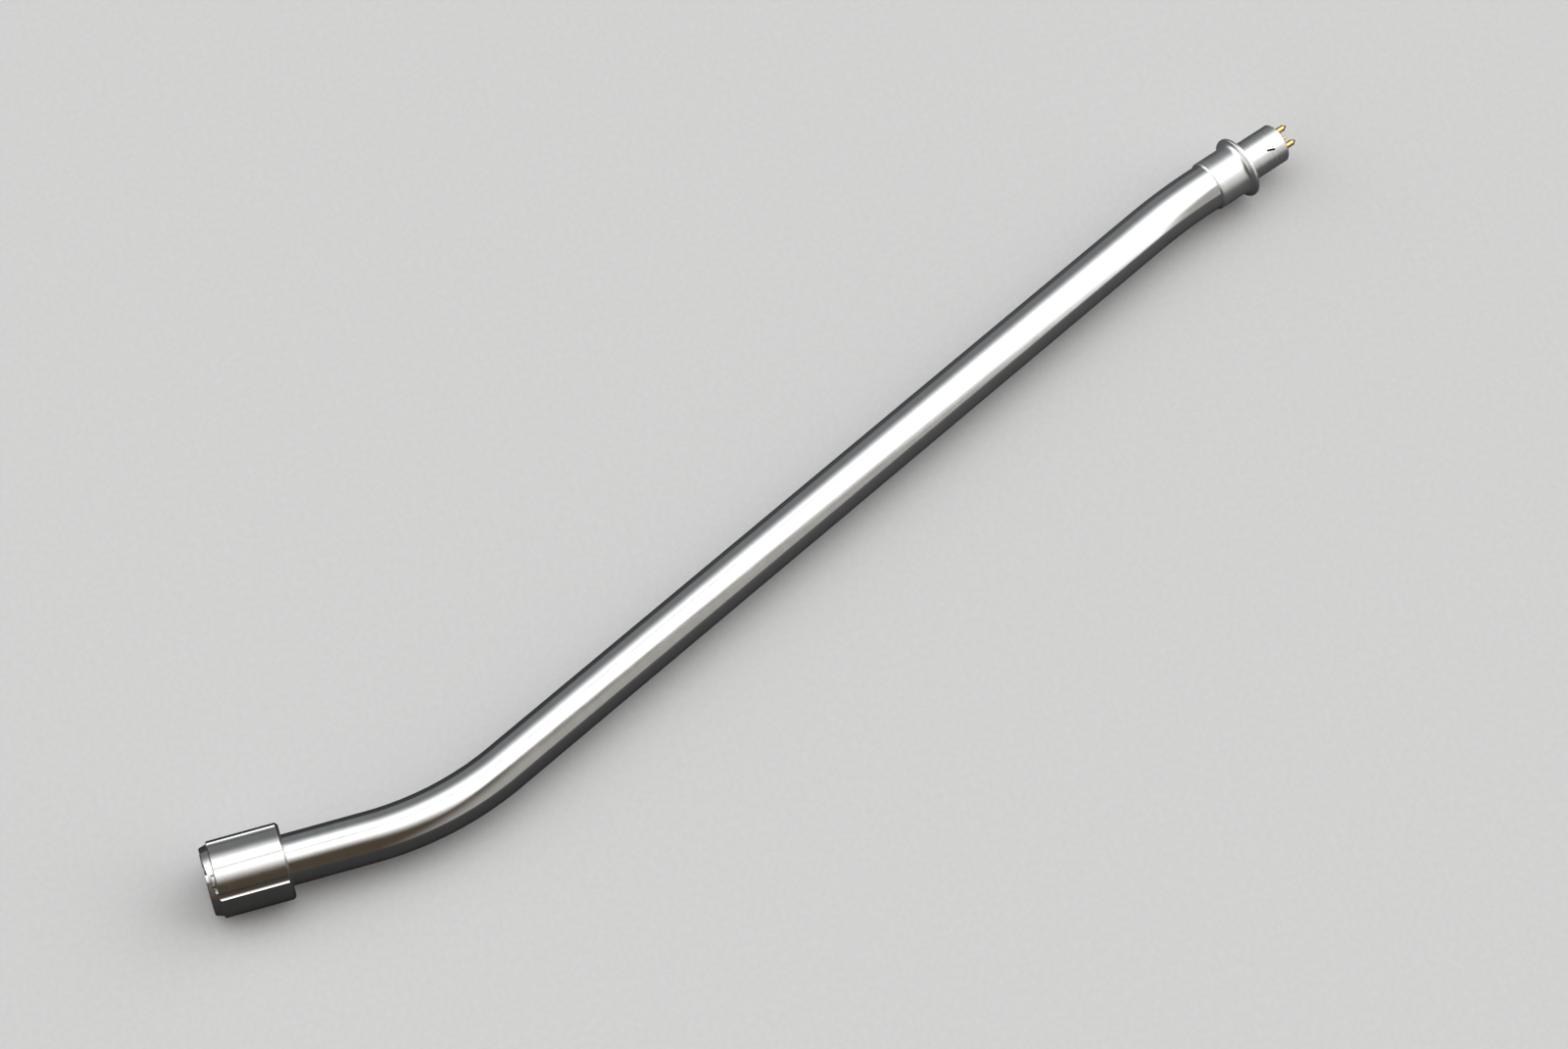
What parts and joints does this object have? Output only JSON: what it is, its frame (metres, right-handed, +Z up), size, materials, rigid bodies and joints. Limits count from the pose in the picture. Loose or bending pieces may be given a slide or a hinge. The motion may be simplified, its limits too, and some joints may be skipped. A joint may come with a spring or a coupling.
{
  "type": "tonearm tube",
  "caption": "Removable S-shaped record player tonearm tube with a bayonet locking collar, spring contacts for a headshell and a pin plug behind a flange.",
  "frame": {"origin": "centre of the headshell socket's mouth, on the tube's axis", "axes": "+X runs into the socket towards the tube, +Z is up through the socket's guide slot, and the tube bends to +Y"},
  "size_m": [0.2299, 0.0991, 0.0136],
  "materials": {
    "tube": "mirror polished",
    "sleeve": "turned satin",
    "collar": "polished, worn",
    "bush": "turned satin",
    "stop_pin": "bright",
    "washer": "satin",
    "ring": "dark spring steel",
    "block": "moulded, matt",
    "contact": "gold plated",
    "spring": "drawn wire",
    "terminal": "tinned",
    "solder": "dull solder",
    "wire_white": "insulated",
    "wire_blue": "insulated",
    "wire_green": "insulated",
    "wire_red": "insulated",
    "ferrule": "turned, polished",
    "barrel": "turned, polished",
    "insulator": "moulded, matt",
    "mark": "black filling",
    "tag": "stamped",
    "pin": "gold plated"
  },
  "bodies": {
    "arm": {"arm_tube": "tube", "socket_sleeve": "sleeve", "thrust_washer": "washer", "retaining_ring": "ring", "contact_block": "block", "contact_spring_1": "spring", "contact_spring_2": "spring", "contact_spring_3": "spring", "contact_spring_4": "spring", "contact_terminal_1": "terminal", "contact_terminal_2": "terminal", "contact_terminal_3": "terminal", "contact_terminal_4": "terminal", "front_solder": "solder", "wire_white": "wire_white", "wire_blue": "wire_blue", "wire_green": "wire_green", "wire_red": "wire_red", "rear_solder": "solder", "rear_ferrule": "ferrule", "plug_barrel": "barrel", "plug_insulator": "insulator", "index_mark": "mark", "ground_tag": "tag", "plug_pin_1": "pin", "plug_pin_2": "pin", "plug_pin_3": "pin", "plug_pin_4": "pin", "plug_ground_pin": "pin"},
    "collar": {"lock_collar": "collar", "collar_end_bush": "bush", "collar_stop_pin": "stop_pin"},
    "plunger_1": {"contact_plunger_1": "contact"},
    "plunger_2": {"contact_plunger_2": "contact"},
    "plunger_3": {"contact_plunger_3": "contact"},
    "plunger_4": {"contact_plunger_4": "contact"}
  },
  "joints": [
    {"name": "collar_turn", "type": "hinge", "parent": "arm", "child": "collar", "pos_m": [0, 0, 0], "axis": [1, 0, 0], "range_deg": [-15.5, 55]},
    {"name": "contact_1_press", "type": "slide", "parent": "arm", "child": "plunger_1", "axis": [1, 0, 0], "range_m": [0, 0.0009], "stiffness_N_per_m": 400, "springref_m": -0.0003, "deforming": ["contact_spring_1"]},
    {"name": "contact_2_press", "type": "slide", "parent": "arm", "child": "plunger_2", "axis": [1, 0, 0], "range_m": [0, 0.0009], "stiffness_N_per_m": 400, "springref_m": -0.0003, "deforming": ["contact_spring_2"]},
    {"name": "contact_3_press", "type": "slide", "parent": "arm", "child": "plunger_3", "axis": [1, 0, 0], "range_m": [0, 0.0009], "stiffness_N_per_m": 400, "springref_m": -0.0003, "deforming": ["contact_spring_3"]},
    {"name": "contact_4_press", "type": "slide", "parent": "arm", "child": "plunger_4", "axis": [1, 0, 0], "range_m": [0, 0.0009], "stiffness_N_per_m": 400, "springref_m": -0.0003, "deforming": ["contact_spring_4"]}
  ]
}
